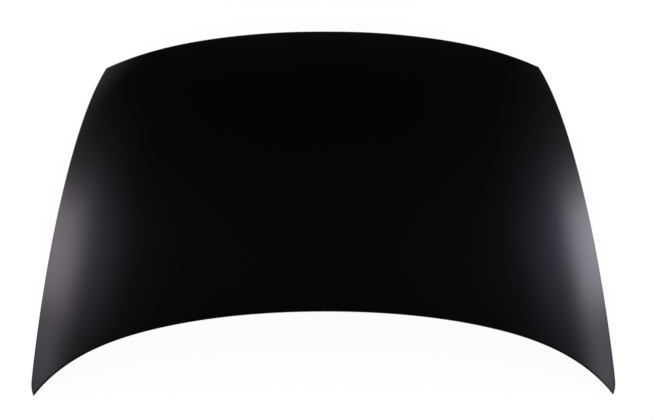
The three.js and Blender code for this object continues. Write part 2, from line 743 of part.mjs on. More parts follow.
// The striker base is welded under the latch pad, with the loop's ends in its two holes
const baseSeat = -(FRAME_GAUGE / 2 + SEAT_GAP + STRIKER_BASE_GAUGE / 2);
const rodHoles = [-0.5, 0.5].map((side) => circle(v2(side * STRIKER_SPAN, 0), STRIKER_ROD + 2 * SEAT_GAP));
const baseFlat = {
  length: LATCH_PAD.length - 2 * STRIKER_BASE_MARGIN,
  width: LATCH_PAD.width - 2 * STRIKER_BASE_MARGIN + 2 * STRIKER_BASE_WALL.run,
  corner: LATCH_PAD.corner - STRIKER_BASE_WALL.run,
};
const strikerBase = dishedPlate(baseFlat, STRIKER_BASE_WALL, rodHoles, STRIKER_BASE_GAUGE);
const loopTop = STRIKER_BASE_GAUGE / 2 + STRIKER_STUB;
addPiece('striker_base', strikerBase, blackPrimer, raised(latchPlane, baseSeat));
addPiece('striker_loop', strikerLoop(loopTop), blackPrimer, raised(latchPlane, baseSeat));

beadPlaces().forEach(([centre, direction], k) => {
  addPiece(`mastic_bead_${String(k + 1).padStart(2, '0')}`, masticBead(centre, direction), darkMastic);
});

// The origin is the middle of the floor that the bonnet lies on
const extent = new THREE.Box3().setFromObject(skinPiece);
bonnet.position.set(0, -(extent.min.y + extent.max.y) / 2, -extent.min.z);

export default bonnet;
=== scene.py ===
import math

import bpy
import numpy as np
from mathutils import Matrix, Vector
from mathutils.geometry import delaunay_2d_cdt


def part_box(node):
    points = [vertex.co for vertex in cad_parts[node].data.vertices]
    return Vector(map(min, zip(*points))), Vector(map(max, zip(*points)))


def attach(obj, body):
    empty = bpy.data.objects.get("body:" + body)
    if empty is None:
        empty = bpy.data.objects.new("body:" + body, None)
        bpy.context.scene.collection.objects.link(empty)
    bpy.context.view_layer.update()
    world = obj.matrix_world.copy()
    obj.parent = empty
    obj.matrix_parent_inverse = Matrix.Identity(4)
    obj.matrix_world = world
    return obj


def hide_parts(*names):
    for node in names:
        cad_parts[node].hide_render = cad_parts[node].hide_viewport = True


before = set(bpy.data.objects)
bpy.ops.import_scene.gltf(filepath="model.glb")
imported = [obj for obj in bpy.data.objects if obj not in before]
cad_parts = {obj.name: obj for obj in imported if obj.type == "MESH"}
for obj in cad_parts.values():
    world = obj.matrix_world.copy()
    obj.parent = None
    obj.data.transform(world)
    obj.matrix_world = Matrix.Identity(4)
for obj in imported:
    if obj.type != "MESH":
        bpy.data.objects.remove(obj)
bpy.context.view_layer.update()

# Outer skin: one sheet of deep-drawn steel, crowned both ways, whose border is
# folded back flat all round. It is dipped in black primer and left unpainted.

# The outline from above in millimetres, from the middle of the rear edge. The
# pulls are the lengths of its curves' handles, and the angles are in degrees.
OVERALL_WIDTH = 1450
CENTRE_LENGTH = 873
REAR_TIP_INSET = 8
REAR_TIP_SWEEP = 159
WIDEST_SWEEP = 122
FRONT_CORNER_WIDTH = 1180
NOSE_SWEEP = 74
REAR_EDGE_PULL = [364, 151]
REAR_TIP_ANGLE = 43
NOSE_EDGE_PULL = [101, 312]
NOSE_CORNER_ANGLE = 14
SIDE_EDGE_PULL = [20, 243]
SIDE_CORNER_ANGLE = 23
TIP_ROUND_PULL = [0.55, 0.25]
CURVE_SAMPLES = 201
INSET_ROUNDS = 4

# How the outer face is curved across and along
CROWN_RADIUS = 3100
LENGTH_BOW = 34
NOSE_DROP = 14
NOSE_DROP_START = 0.6
SHOULDER_WIDTH = 300
SHOULDER_DROPS = [50, 32]

# The sheets, the hem and the stations that the face is drawn by
SKIN_GAUGE = 0.8
FRAME_GAUGE = 0.7
SEAT_GAP = 0.3
HEM_WIDTH = 10
HEM_EDGE_BREAK = 0.2
PANEL_INSET = 13
STATIONS_ACROSS = 150
STATIONS_ALONG = 100
STATION_CROWDING = 0.22
FOLD_STEPS = 8
GRID_ROW_SHARE = 0.87
GRID_CLEARANCE = 0.6
FILL_TOLERANCE = 1e-5
SHARP_ANGLE = 35
MM = 0.001

rear_tip = np.array([OVERALL_WIDTH / 2 - REAR_TIP_INSET, -REAR_TIP_SWEEP])
widest = np.array([OVERALL_WIDTH / 2, -WIDEST_SWEEP])
front_corner = np.array([FRONT_CORNER_WIDTH / 2, CENTRE_LENGTH - NOSE_SWEEP])


def bezier(points, t):
    """Points of a cubic curve from its two ends and the two handles between them."""
    a, b, c, d = (np.asarray(point, float) for point in points)
    t = np.asarray(t, float)[..., None]
    return a * (1 - t) ** 3 + 3 * b * t * (1 - t) ** 2 + 3 * c * t**2 * (1 - t) + d * t**3


class EvenCurve:
    """A curve whose points are asked for by their share of its length."""

    def __init__(self, points):
        self.points = points
        self.t = np.linspace(0, 1, CURVE_SAMPLES)
        steps = np.linalg.norm(np.diff(bezier(points, self.t), axis=0), axis=1)
        self.run = np.concatenate([[0], np.cumsum(steps)])
        self.length = self.run[-1]

    def at(self, share):
        return bezier(self.points, np.interp(np.asarray(share) * self.length, self.run, self.t))


def edge_curve(centre_y, pulls, angle, end):
    """The right half of the rear or nose edge, square to the centre line where it starts."""
    lean = np.array([-math.cos(math.radians(angle)), math.sin(math.radians(angle))]) * pulls[1]
    return EvenCurve([[0, centre_y], [pulls[0], centre_y], end + lean, end])


rear_edge = edge_curve(0, REAR_EDGE_PULL, REAR_TIP_ANGLE, rear_tip)
nose_edge = edge_curve(CENTRE_LENGTH, NOSE_EDGE_PULL, NOSE_CORNER_ANGLE, front_corner)
tip_round = EvenCurve([
    rear_tip,
    rear_tip + (widest - rear_tip) * TIP_ROUND_PULL,
    [widest[0], (rear_tip[1] + widest[1]) / 2],
    widest,
])
side_lean = math.radians(SIDE_CORNER_ANGLE)
flank = EvenCurve([
    widest,
    widest + [0, SIDE_EDGE_PULL[0]],
    front_corner + np.array([math.sin(side_lean), -math.cos(side_lean)]) * SIDE_EDGE_PULL[1],
    front_corner,
])


def side_edge(share):
    """Points of the right side, round the rear tip and on along the flank."""
    run = np.clip(share, 0, 1) * (tip_round.length + flank.length)
    on_tip = tip_round.at(np.minimum(run / tip_round.length, 1))
    on_flank = flank.at(np.maximum(run - tip_round.length, 0) / flank.length)
    return np.where((run < tip_round.length)[..., None], on_tip, on_flank)


def patch(u, v):
    """Plan points inside the outline: u runs -1 to 1 across, v runs 0 to 1 from rear to nose."""
    u, v = np.broadcast_arrays(np.asarray(u, float), np.asarray(v, float))
    rear, nose = (edge.at(np.minimum(abs(u), 1)) for edge in (rear_edge, nose_edge))
    bulge = side_edge(v) - rear_tip - (front_corner - rear_tip) * v[..., None]
    x = np.sign(u) * (rear[..., 0] + (nose[..., 0] - rear[..., 0]) * v) + u * bulge[..., 0]
    y = rear[..., 1] + (nose[..., 1] - rear[..., 1]) * v + bulge[..., 1]
    return np.stack([x, y], -1)


def border_rate(u, v, along):
    """How far u or v moves from a border for one millimetre square to that border."""
    step = 0.01
    u, v = np.broadcast_arrays(np.asarray(u, float), np.asarray(v, float))
    u1, v1 = np.minimum(u + step, 1), np.minimum(v + step, 1)
    du = (patch(u1, v) - patch(u1 - step, v)) / step
    dv = (patch(u, v1) - patch(u, v1 - step)) / step
    area = abs(du[..., 0] * dv[..., 1] - du[..., 1] * dv[..., 0])
    return np.linalg.norm(du if along else dv, axis=-1) / area


def plan_point(across, along, inset):
    """Plan points by shares across (-1 to 1) and along (0 to 1) what lies inside an inset."""
    across, along = np.broadcast_arrays(np.asarray(across, float), np.asarray(along, float))
    u, v = across, along
    for _ in range(INSET_ROUNDS):
        u = across * (1 - inset * border_rate(1, v, False))
        low = inset * border_rate(abs(u), 0, True)
        high = 1 - inset * border_rate(abs(u), 1, True)
        v = low + (high - low) * along
    return patch(u, v)


def crown(x, y):
    """Height of the outer face before the bonnet is laid on its corners."""
    t = y / CENTRE_LENGTH
    bow = 4 * LENGTH_BOW * t * (1 - t)
    nose = NOSE_DROP * np.maximum((t - NOSE_DROP_START) / (1 - NOSE_DROP_START), 0) ** 3
    taper = np.maximum((y - widest[1]) / (front_corner[1] - widest[1]), 0) ** 2
    half_width = widest[0] + (front_corner[0] - widest[0]) * taper
    shoulder = np.maximum(abs(x) - half_width + SHOULDER_WIDTH, 0) / SHOULDER_WIDTH
    drop = SHOULDER_DROPS[0] + (SHOULDER_DROPS[1] - SHOULDER_DROPS[0]) * t
    return bow - nose - x * x / (2 * CROWN_RADIUS) - drop * shoulder**3


laying_slope = (crown(*rear_tip) - crown(*front_corner)) / (front_corner[1] - rear_tip[1])


def height(x, y):
    return crown(x, y) + laying_slope * y


def surface_normal(x, y):
    slope_x = (height(x + 1, y) - height(x - 1, y)) / 2
    slope_y = (height(x, y + 1) - height(x, y - 1)) / 2
    normal = np.stack([-slope_x, -slope_y, np.ones_like(slope_x)], -1)
    return normal / np.linalg.norm(normal, axis=-1, keepdims=True)


def below(plan, depth):
    """The points square below the outer face at plan points, as the bonnet lies on its corners."""
    plan = np.asarray(plan, float)
    x, y = plan[..., 0], plan[..., 1]
    surface = np.stack([x, y, height(x, y)], -1)
    return surface - surface_normal(x, y) * np.asarray(depth, float)[..., None]


def eased(k):
    """Stations from -1 to 1 that crowd towards both ends."""
    return k * (1 + STATION_CROWDING * (1 - k * k))


across_stations = eased(np.linspace(-1, 1, STATIONS_ACROSS + 1))
along_stations = (eased(np.linspace(-1, 1, STATIONS_ALONG + 1)) + 1) / 2
round_across = np.concatenate([
    across_stations[:-1], np.ones(STATIONS_ALONG), across_stations[:0:-1], -np.ones(STATIONS_ALONG)
])
round_along = np.concatenate([
    np.zeros(STATIONS_ACROSS), along_stations[:-1], np.ones(STATIONS_ACROSS), along_stations[:0:-1]
])


def add_object(name, data):
    made = bpy.data.objects.new(name, data)
    bpy.context.scene.collection.objects.link(made)
    return made


def make_plain(piece):
    """Turns what the modifiers make into the piece's own mesh."""
    evaluated = piece.evaluated_get(bpy.context.evaluated_depsgraph_get())
    piece.data = bpy.data.meshes.new_from_object(evaluated)
    piece.modifiers.clear()


class Sheet:
    """Points in millimetres and faces, gathered from closed loops."""

    own_size = Matrix.Diagonal((MM, MM, MM, 1))
    placing = own_size

    def __init__(self):
        self.points = []
        self.faces = []

    def loop(self, points):
        start = len(self.points)
        self.points.extend(np.asarray(points, float))
        return np.arange(start, len(self.points))

    def bands(self, loops):
        """Faces between loops of equal count, each lying round the next when seen from outside."""
        for around, within in zip(loops, loops[1:]):
            rows = [around, np.roll(around, -1), np.roll(within, -1), within]
            self.faces.extend(np.stack(rows, -1).tolist())

    def fill(self, outline, holes, place=None, spacing=0):
        """Fills an outline round its holes; place gives the points of a grid of that spacing."""
        rings = [outline, *holes]
        used = np.concatenate(rings)
        plan = np.array([self.points[k][:2] for k in used])
        edges, start = [], 0
        for ring in rings:
            edges += [(start + k, start + (k + 1) % len(ring)) for k in range(len(ring))]
            start += len(ring)
        borders = plan[np.array(edges)]
        if place:
            grid = self.inner_grid(plan, spacing)
            grid = grid[self.within(grid, borders)]
            used = np.concatenate([used, self.loop(place(grid))])
            plan = np.concatenate([plan, grid])
        found = delaunay_2d_cdt([Vector(point) for point in plan], edges, [], 0, FILL_TOLERANCE)
        faces = np.array([[found[3][k][0] for k in face] for face in found[2]])
        kept = faces[self.within(plan[faces].mean(1), borders)]
        self.faces.extend(used[kept].tolist())

    @staticmethod
    def within(points, borders):
        """Which plan points lie inside, by how many borders a line to the side crosses."""
        (x0, y0), (x1, y1) = borders[:, 0].T, borders[:, 1].T
        x, y = points[:, :1], points[:, 1:]
        spans = (y0 > y) != (y1 > y)
        crossing = x0 + (y - y0) * (x1 - x0) / np.where(y1 == y0, 1, y1 - y0)
        return (spans & (x < crossing)).sum(1) % 2 == 1

    @staticmethod
    def inner_grid(border, spacing):
        """Staggered rows of points that keep clear of the border's own points."""
        (x0, y0), (x1, y1) = border.min(0), border.max(0)
        x, y = np.meshgrid(np.arange(x0, x1, spacing), np.arange(y0, y1, spacing * GRID_ROW_SHARE))
        x[1::2] += spacing / 2
        grid = np.stack([x.ravel(), y.ravel()], -1)
        gaps = np.array([np.linalg.norm(border - point, axis=1).min() for point in grid])
        return grid[gaps > spacing * GRID_CLEARANCE]

    def piece(self, name, thickness=0, sharp=SHARP_ANGLE, placing=None):
        """The finished object, laid as the bonnet lies unless told; a sheet gets its thickness."""
        mesh = bpy.data.meshes.new(name)
        mesh.from_pydata(self.points, [], self.faces)
        piece = add_object(name, mesh)
        if thickness:
            gauge = piece.modifiers.new("gauge", "SOLIDIFY")
            gauge.thickness = thickness
            gauge.offset = 0
            make_plain(piece)
        piece.data.transform(placing or Sheet.placing)
        piece.data.shade_smooth()
        piece.data.set_sharp_from_angle(angle=math.radians(sharp))
        return piece


hem_stack = 2 * SKIN_GAUGE + FRAME_GAUGE + 2 * SEAT_GAP
fold_radius = hem_stack / 2


def fold(radius):
    """Stations round the folded border, as insets and depths from the hem to the outer face."""
    angles = np.pi * (0.5 - np.linspace(0, 1, FOLD_STEPS + 1))
    return [(fold_radius - radius * np.cos(a), fold_radius + radius * np.sin(a)) for a in angles]


def outline_ring(sheet, inset, depth):
    """A loop all round the panel, at an inset from its outline and a depth below its face."""
    return sheet.loop(below(plan_point(round_across, round_along, inset), depth))


def panel_face(sheet, border, depth, facing_down):
    """One face of the panel inside the hem, joined to a border ring that is already there."""
    grid = plan_point(across_stations[None, :], along_stations[:, None], PANEL_INSET)
    index = sheet.loop(below(grid, depth).reshape(-1, 3)).reshape(grid.shape[:2])
    a, b = STATIONS_ACROSS, STATIONS_ALONG
    index[0, :], index[:b, a] = border[: a + 1], border[a : a + b]
    index[b, ::-1] = border[a + b : 2 * a + b + 1]
    index[1:, 0] = border[2 * a + b :][::-1]
    corners = [index[:-1, :-1], index[:-1, 1:], index[1:, 1:], index[1:, :-1]]
    sheet.faces.extend(np.stack(corners[:: -1 if facing_down else 1], -1).reshape(-1, 4).tolist())


skin = Sheet()
outer_section = [*fold(fold_radius), (PANEL_INSET / 2, 0), (PANEL_INSET, 0)]
inner_section = [
    (HEM_WIDTH - HEM_EDGE_BREAK, hem_stack),
    (HEM_WIDTH, hem_stack - HEM_EDGE_BREAK),
    (HEM_WIDTH, hem_stack - SKIN_GAUGE),
    *fold(fold_radius - SKIN_GAUGE),
    (PANEL_INSET, SKIN_GAUGE),
]
outer_rings = [outline_ring(skin, *station) for station in outer_section]
inner_rings = [outline_ring(skin, *station) for station in inner_section]
skin.bands(outer_rings)
skin.bands(inner_rings[::-1])
skin.bands([inner_rings[0], outer_rings[0]])
panel_face(skin, outer_rings[-1], 0, False)
panel_face(skin, inner_rings[-1], SKIN_GAUGE, True)

# The skin is laid in the box of its solid, and the other pieces follow it
own_low, own_high = np.min(skin.points, 0), np.max(skin.points, 0)
low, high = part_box("outer_skin")
fit = (np.array(high) - np.array(low)) / (own_high - own_low)
to_floor = Matrix.Translation(low) @ Matrix.Diagonal((*fit, 1))
Sheet.placing = to_floor @ Matrix.Translation(-Vector(own_low))


# The primer, with its patterns' scales per metre and its depth of orange peel in metres
PRIMER_BLACK = (0.0009, 0.0008, 0.001, 1)
DUST_GREY = (0.0032, 0.003, 0.0036, 1)
OUTSIDE_ROUGHNESS = 0.3
OUTSIDE_MOTTLE = 0.05
PRIMER_IOR = 1.5
PATCH_SCALE = 7
SPECKLE_SCALE = 900
PEEL_SCALE = 420
PEEL_DEPTH = 0.00002
DUST_FROM = 0.66
DUST_TO = 0.74
DUST_COVER = 0.6
DUST_DULLING = 0.05
NOISE_MIDDLE = 0.5


class Graph:
    """A node tree, with one call that adds any node to it."""

    def __init__(self, tree):
        self.tree = tree

    def node(self, kind, settings=None, sockets=(), outlet=0):
        node = self.tree.nodes.new(kind)
        for name, value in (settings or {}).items():
            setattr(node, name, value)
        pairs = sockets.items() if isinstance(sockets, dict) else enumerate(sockets)
        for key, value in pairs:
            if isinstance(value, Signal):
                self.tree.links.new(value.socket, node.inputs[key])
            else:
                node.inputs[key].default_value = value
        return Signal(self, node.outputs[outlet] if node.outputs else None, node)

    def noise(self, place, scale, detail):
        sockets = {"Vector": place, "Scale": scale, "Detail": detail}
        return self.node("ShaderNodeTexNoise", None, sockets)

    def mix_colours(self, factor, first, second):
        """A Mix node's colour sockets share their names with others, so they go by number."""
        return self.node("ShaderNodeMix", {"data_type": "RGBA"}, {0: factor, 6: first, 7: second}, 2)


class Signal:
    """A node's output; sums, differences and products of signals add their Math nodes."""

    def __init__(self, graph, socket, node):
        self.graph, self.socket, self.made_by = graph, socket, node

    def outlet(self, name):
        return Signal(self.graph, self.made_by.outputs[name], self.made_by)

    def math(self, operation, *others):
        return self.graph.node("ShaderNodeMath", {"operation": operation}, (self, *others))

    def __add__(self, other):
        return self.math("ADD", other)

    def __sub__(self, other):
        return self.math("SUBTRACT", other)

    def __rsub__(self, other):
        return self.graph.node("ShaderNodeMath", {"operation": "SUBTRACT"}, (other, self))

    def __mul__(self, other):
        return self.math("MULTIPLY", other)

    __radd__, __rmul__ = __add__, __mul__


def empty_graph(holder):
    """The graph of a material or world, without the nodes that it starts with."""
    holder.use_nodes = True
    holder.node_tree.nodes.clear()
    return Graph(holder.node_tree)


def black_primer(name, roughness, mottle):
    """Dipped and baked black primer: orange peel, duller patches and a thin film of dust."""
    material = bpy.data.materials.new(name)
    graph = empty_graph(material)
    place = graph.node("ShaderNodeTexCoord").outlet("Object")
    patches = graph.noise(place, PATCH_SCALE, 3)
    speckle = graph.noise(place, SPECKLE_SCALE, 2)
    peel = graph.noise(place, PEEL_SCALE, 1)
    dust = graph.node("ShaderNodeMapRange", {"clamp": True}, {
        "Value": speckle, "From Min": DUST_FROM, "From Max": DUST_TO, "To Min": 0, "To Max": DUST_COVER,
    })
    colour = graph.mix_colours(dust, PRIMER_BLACK, DUST_GREY)
    gloss = roughness + mottle * (patches - NOISE_MIDDLE) + DUST_DULLING * dust
    bump = graph.node("ShaderNodeBump", None, {"Strength": 1, "Distance": PEEL_DEPTH, "Height": peel})
    shader = graph.node("ShaderNodeBsdfPrincipled", None, {
        "Base Color": colour, "Roughness": gloss, "Normal": bump, "IOR": PRIMER_IOR,
    })
    graph.node("ShaderNodeOutputMaterial", None, {"Surface": shader})
    return material


outer_skin = skin.piece("pressed_skin")
outside_primer = black_primer("black_primer_outside", OUTSIDE_ROUGHNESS, OUTSIDE_MOTTLE)
outer_skin.data.materials.append(outside_primer)
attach(outer_skin, "root")
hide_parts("outer_skin")


# Inner frame: one thinner pressed sheet held in the hem, with a channel all
# round, ribs between its lightening openings, and raised pads for the fittings.

# The channel and the openings in millimetres
FOLD_CLEARANCE = 1.2
CHANNEL_DEPTH = 19
CHANNEL_WIDTH = 114
WALL_RUN = 9
BEND_RUN = 3
WALL_PULL = 0.42
BEND_LEAD = 1
OPENING_LAND = 15
MASTIC_GAP = 4
OPENING_CORNER = 62
LARGEST_CORNER_SHARE = 0.45
RIB_WIDTH = 94

# Where the ribs and the areas for fittings lie, as shares of the field inside the
# channel: across from the centre line to the side, along from the rear to the nose
CROSS_RIB_ALONG = 0.47
V_RIB_AT_NOSE = 0.2
V_RIB_AT_REAR = 0.82
LATCH_AREA_ALONG = 0.86
HINGE_AREA_ALONG = 0.3
SIDE_CHANNEL_EASE = 0.06
STOP_AREA = [0.72, 0.82]

# Pads by length, width and corner, and their places by the shares across and
# along, the inset from the outline and the turn in degrees
HINGE_PAD = [92, 46, 12]
HINGE_PAD_PLACE = [0.88, 0, 84, -24]
HINGE_BOLT_SPACING = 50
BOLT_HOLE = 9
LATCH_PAD = [120, 54, 14]
LATCH_PAD_PLACE = [0, 1, 78, 0]
STOP_PAD = [44, 44, 21]
STOP_PAD_PLACE = [0.83, 1, 74, 0]
PAD_RISE = 3
PAD_SLOPE_RUN = 5
PAD_BEND_LEAD = 0.5

# The slot round the striker's rod, and the holes in the channel floor
STRIKER_SPAN = 42
STRIKER_ROD = 8
STRIKER_SLOT_CORNER = 3
LATCH_SLOT_MARGIN = 7
LOCATION_HOLE = 16
LOCATION_HOLE_ALONG = 0.2
DRAIN_HOLE = 10
NOSE_DRAIN_ACROSS = 0.5
REAR_DRAIN_ACROSS = 0.35
STAY_SLOT = [26, 12, 5.5]
STAY_SLOT_ALONG = 0.72

# How finely the frame is drawn
CORNER_STEPS = 14
OUTLINE_STEP = 14
WALL_STEPS = 9
APRON = 1.5
FLOOR_SPACING = 18
SMALLEST_STEP = 0.01
ARC_STEPS = 8
HOLE_SIDES = 28

INSIDE_ROUGHNESS = 0.42
INSIDE_MOTTLE = 0.08

flange_depth = hem_stack / 2
land_depth = SKIN_GAUGE + 2 * SEAT_GAP + MASTIC_GAP + FRAME_GAUGE / 2
floor_depth = CHANNEL_DEPTH + FRAME_GAUGE / 2
floor_inset = PANEL_INSET + WALL_RUN + BEND_RUN
opening_foot = OPENING_LAND + WALL_RUN + BEND_RUN
channel_middle = (floor_inset + CHANNEL_WIDTH - opening_foot) / 2


def field(shares):
    """Plan points of the field inside the channel, from shares across and along it."""
    shares = np.asarray(shares, float)
    return plan_point(shares[..., 0], shares[..., 1], CHANNEL_WIDTH)


def reach(start, end):
    return np.linalg.norm(field(start) - field(end))


rib_across = RIB_WIDTH / 2 / field([1, 0.5])[0]
rib_along = RIB_WIDTH / 2 / reach([0, 0], [0, 1])
behind_rib, ahead_of_rib = CROSS_RIB_ALONG - rib_along, CROSS_RIB_ALONG + rib_along


def v_rib(along, side):
    """A corner on the inner (-1) or outer (1) side of the slanting rib on the right."""
    return [V_RIB_AT_REAR + (V_RIB_AT_NOSE - V_RIB_AT_REAR) * along + side * rib_across, along]


# Corners of the openings in those shares, the right half's from the rear to the nose
side_start = HINGE_AREA_ALONG - SIDE_CHANNEL_EASE
right_openings = [
    [[rib_across, 0], v_rib(0, -1), v_rib(behind_rib, -1), [rib_across, behind_rib]],
    [v_rib(HINGE_AREA_ALONG, 1), [1, side_start], [1, behind_rib], v_rib(behind_rib, 1)],
    [v_rib(ahead_of_rib, 1), [1, ahead_of_rib], [1, STOP_AREA[1]], [STOP_AREA[0], 1], v_rib(1, 1)],
]
wide_end, narrow_end = v_rib(ahead_of_rib, -1), v_rib(LATCH_AREA_ALONG, -1)
middle_opening = [[-wide_end[0], wide_end[1]], wide_end, narrow_end, [-narrow_end[0], narrow_end[1]]]
left_openings = [[[-across, along] for across, along in corners[::-1]] for corners in right_openings]
openings = [np.array(corners, float) for corners in [*right_openings, *left_openings, middle_opening]]


def rounded_outline(corners):
    """Plan points round an opening whose corners are rounded off."""
    shares = []
    for last, corner, after in zip(np.roll(corners, 1, 0), corners, np.roll(corners, -1, 0)):
        back = min(OPENING_CORNER / reach(corner, last), LARGEST_CORNER_SHARE)
        ahead = min(OPENING_CORNER / reach(corner, after), LARGEST_CORNER_SHARE)
        start, end = corner + (last - corner) * back, corner + (after - corner) * ahead
        t = np.linspace(0, 1, CORNER_STEPS + 1)[:, None]
        shares.extend(start * (1 - t) ** 2 + 2 * corner * t * (1 - t) + end * t * t)
        far = after + (corner - after) * min(OPENING_CORNER / reach(after, corner), LARGEST_CORNER_SHARE)
        steps = max(math.ceil(reach(end, far) / OUTLINE_STEP), 1)
        shares.extend(end + (far - end) * k / steps for k in range(1, steps))
    return field(shares)


def spread(loop, distance):
    """A plan loop moved outwards."""
    along = np.roll(loop, -1, 0) - np.roll(loop, 1, 0)
    along /= np.linalg.norm(along, axis=1, keepdims=True)
    return loop + np.stack([along[:, 1], -along[:, 0]], -1) * distance


def wall(near, far, near_depth, far_depth, pull):
    """Stations down a pressed wall that leaves both levels in a round bend."""
    lean = pull * (far - near)
    ends = [[near, near_depth], [far, far_depth]]
    leads = [[near + lean, near_depth], [far - lean, far_depth]]
    return bezier([ends[0], *leads, ends[1]], np.linspace(0, 1, WALL_STEPS + 1)).tolist()


pressing = Sheet()
rim_stations = [
    (fold_radius + FOLD_CLEARANCE, flange_depth),
    *wall(PANEL_INSET - BEND_LEAD, floor_inset + BEND_LEAD, flange_depth, floor_depth, WALL_PULL),
    (floor_inset + BEND_LEAD + APRON, floor_depth),
]
rim = [outline_ring(pressing, *station) for station in rim_stations]
pressing.bands(rim)
cuts = []
for corners in openings:
    edge = rounded_outline(corners)
    stations = [
        (opening_foot + BEND_LEAD + APRON, floor_depth),
        *wall(opening_foot + BEND_LEAD, OPENING_LAND - BEND_LEAD, floor_depth, land_depth, WALL_PULL),
        (OPENING_LAND / 2, land_depth),
        (0, land_depth),
    ]
    rings = [pressing.loop(below(spread(edge, distance), depth)) for distance, depth in stations]
    pressing.bands(rings)
    cuts.append(rings[0])


def pad_plane(across, along, inset, yaw):
    """Turns and moves a part lying on z = 0 onto a pad that is raised towards the skin."""
    plan = plan_point(across, along, inset)
    up = Vector(surface_normal(*plan))
    across_pad = Vector((math.cos(math.radians(yaw)), math.sin(math.radians(yaw)), 0))
    along_pad = up.cross(across_pad).normalized()
    turn = Matrix((along_pad.cross(up), along_pad, up)).transposed()
    return Matrix.Translation(below(plan, floor_depth - PAD_RISE)) @ turn.to_4x4()


def on_plane(plane, points, rise=0):
    """Flat points laid on a plane, or raised over it by one height or by one for each."""
    raised = np.column_stack([points, np.full(len(points), rise), np.ones(len(points))])
    return (raised @ np.array(plane).T)[:, :3]


def rounded_rectangle(length, width, corner, grow=0):
    """An outline round the middle of a plane, grown outwards where asked."""
    x, y = length / 2 - corner, width / 2 - corner
    arcs = []
    for k, centre in enumerate([(x, -y), (x, y), (-x, y), (-x, -y)]):
        angle = (k - 1 + np.linspace(0, 1, ARC_STEPS + 1)) * np.pi / 2
        arcs.append(centre + (corner + grow) * np.stack([np.cos(angle), np.sin(angle)], -1))
    points = np.concatenate(arcs)
    return points[np.linalg.norm(points - np.roll(points, 1, 0), axis=1) > SMALLEST_STEP]


def ring_of_points(centre, diameter, sides=HOLE_SIDES):
    angle = np.linspace(0, 2 * np.pi, sides, endpoint=False)
    return np.asarray(centre) + diameter / 2 * np.stack([np.cos(angle), np.sin(angle)], -1)


def add_pad(sheet, plane, size, holes):
    """Presses a flat pad into the channel floor and gives the ring that the floor stops at."""
    foot = PAD_SLOPE_RUN + PAD_BEND_LEAD
    rings = []
    for t in [-APRON / foot, *np.linspace(0, 1, WALL_STEPS + 1), 1 + APRON / foot]:
        flat = on_plane(plane, rounded_rectangle(*size, foot - (foot + PAD_BEND_LEAD) * t))
        t = min(max(t, 0), 1)
        on_floor = below(flat[:, :2], floor_depth)
        share = t * t * (3 - 2 * t)
        rings.append(sheet.loop(on_floor + (flat - on_floor) * share))
    sheet.bands(rings)
    sheet.fill(rings[-1], [sheet.loop(on_plane(plane, hole)) for hole in holes])
    return rings[0]


def mirrored_planes(across, along, inset, yaw):
    """The planes of a pair of pads, the left one first."""
    return [pad_plane(-across, along, inset, -yaw), pad_plane(across, along, inset, yaw)]


hinge_planes = mirrored_planes(*HINGE_PAD_PLACE)
latch_plane = pad_plane(*LATCH_PAD_PLACE)
stop_planes = mirrored_planes(*STOP_PAD_PLACE)
bolt_places = [(-HINGE_BOLT_SPACING / 2, 0), (HINGE_BOLT_SPACING / 2, 0)]
hinge_holes = [ring_of_points(place, BOLT_HOLE) for place in bolt_places]
striker_room = [STRIKER_SPAN + STRIKER_ROD, STRIKER_ROD, STRIKER_SLOT_CORNER]
latch_slot = rounded_rectangle(*striker_room, grow=LATCH_SLOT_MARGIN)
cuts += [add_pad(pressing, plane, HINGE_PAD, hinge_holes) for plane in hinge_planes]
cuts += [add_pad(pressing, latch_plane, LATCH_PAD, [latch_slot])]
cuts += [add_pad(pressing, plane, STOP_PAD, []) for plane in stop_planes]
floor_holes = []
for side in (-1, 1):
    for place, along, diameter in (
        (side, LOCATION_HOLE_ALONG, LOCATION_HOLE),
        (side * NOSE_DRAIN_ACROSS, 1, DRAIN_HOLE),
        (side * REAR_DRAIN_ACROSS, 0, DRAIN_HOLE),
    ):
        floor_holes.append(ring_of_points(plan_point(place, along, channel_middle), diameter))
stay_slot = rounded_rectangle(*STAY_SLOT)[:, ::-1] * [-1, 1]
floor_holes.append(plan_point(-1, STAY_SLOT_ALONG, channel_middle) + stay_slot)
for hole in floor_holes:
    rings = [pressing.loop(below(spread(hole, distance), floor_depth)) for distance in (APRON, 0)]
    pressing.bands(rings)
    cuts.append(rings[0])
pressing.fill(rim[-1], cuts, lambda plan: below(plan, floor_depth), FLOOR_SPACING)
inner_frame = pressing.piece("pressed_inner_frame", FRAME_GAUGE)
inside_primer = black_primer("black_primer_inside", INSIDE_ROUGHNESS, INSIDE_MOTTLE)


def dress(piece, material, slot, *nodes):
    """Gives a finished piece its material, its place on the bonnet and the solids it stands for."""
    piece.data.materials.clear()
    piece.data.materials.append(material)
    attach(piece, "root")
    if nodes:
        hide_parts(*nodes)


dress(inner_frame, inside_primer, "black_primer", "inner_frame")


# Reinforcements: dished plates of thicker steel on the upper side of the hinge
# pads and the latch pad, inside the bonnet, spot-welded before the primer.

PLATE_GAUGE = 1.5
PLATE_MARGIN = 4
PLATE_WALL_RUN = 2
PLATE_WALL_HEIGHT = 5
PLATE_RIM = 2
PLATE_WALL_PULL = 0.55


def dished_plate(name, plane, seat, size, run, rise, holes, gauge):
    """A flat plate with a wall all round, seated at a height over a pad."""
    plate = Sheet()
    rings = [
        plate.loop(on_plane(plane, rounded_rectangle(*size, grow), seat + z))
        for grow, z in wall(run, -PLATE_RIM, rise, 0, PLATE_WALL_PULL)
    ]
    plate.bands(rings)
    plate.fill(rings[-1], [plate.loop(on_plane(plane, hole, seat)) for hole in holes])
    return plate.piece(name, gauge)


